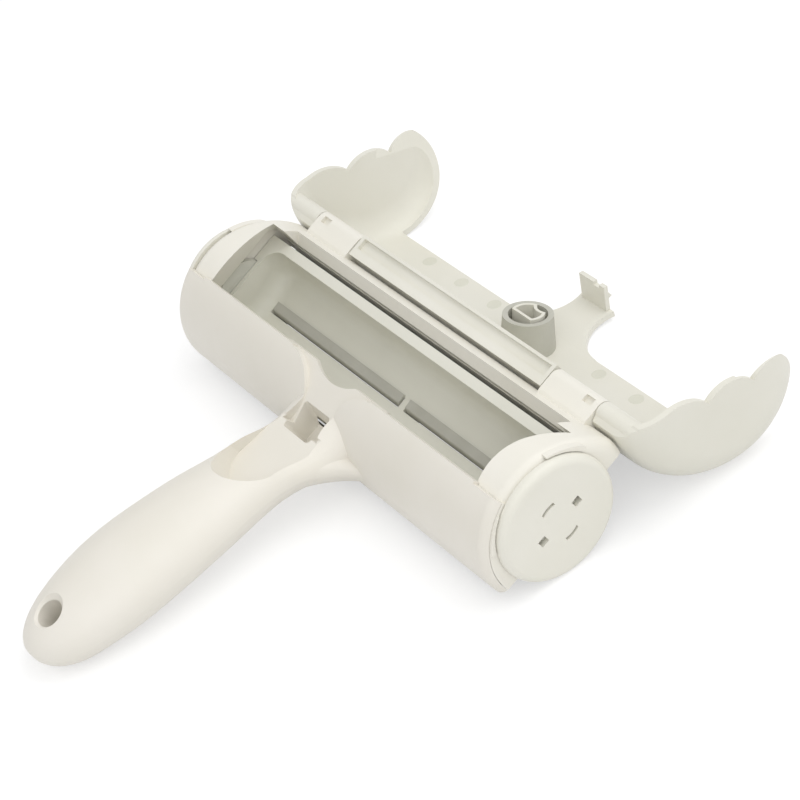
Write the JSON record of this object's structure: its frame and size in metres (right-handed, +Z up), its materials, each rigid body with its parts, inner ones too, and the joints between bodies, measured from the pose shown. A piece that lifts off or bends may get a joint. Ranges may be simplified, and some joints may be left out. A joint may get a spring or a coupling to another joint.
{
  "type": "pet hair removal brush",
  "caption": "Self-cleaning lint roller with a rocking cloth-covered drum, a hair bin under a hinged lid with scalloped wing ends, and a hollow handle.",
  "frame": {"origin": "middle of the outline on the table, under the brush as it lies with the lid open", "axes": "+X along the drum to the right end disc, +Y from the handle towards the open lid, +Z up"},
  "size_m": [0.204, 0.2398, 0.0455],
  "materials": {
    "shell_white": "satin",
    "lid_white": "satin",
    "disc_white": "satin",
    "drum_white": "satin",
    "tray_white": "satin",
    "flap_grey": "soft",
    "sleeve_grey": "soft",
    "cloth_grey": "napped",
    "pin_steel": "drawn",
    "screw_steel": "plated"
  },
  "bodies": {
    "body": {"handle_shell": "shell_white", "handle_cover": "shell_white", "cover_screws": "screw_steel", "head_frame": "shell_white", "wiper_strip_front": "flap_grey", "wiper_strip_rear": "flap_grey", "hinge_pin_left": "pin_steel", "hinge_pin_right": "pin_steel"},
    "lid": {"lid": "lid_white", "button_sleeve": "sleeve_grey"},
    "button": {"release_button": "lid_white"},
    "drum": {"drum_shell": "drum_white", "drum_tray": "tray_white", "slot_flap_left": "flap_grey", "slot_flap_right": "flap_grey", "lint_cloth_front": "cloth_grey", "lint_cloth_rear": "cloth_grey", "end_disc_left": "disc_white", "end_disc_right": "disc_white"}
  },
  "joints": [
    {"name": "lid_hinge", "type": "hinge", "parent": "body", "child": "lid", "pos_m": [0, 0.05974, 0.03571], "axis": [1, 0, 0], "range_deg": [0, 217.9]},
    {"name": "drum_swing", "type": "hinge", "parent": "body", "child": "drum", "pos_m": [0, 0.02632, 0.02225], "axis": [1, 0, 0], "range_deg": [-15, 15]},
    {"name": "button_press", "type": "slide", "parent": "lid", "child": "button", "axis": [0, 0.2374, 0.9714], "range_m": [0, 0.0025], "stiffness_N_per_m": 300}
  ]
}
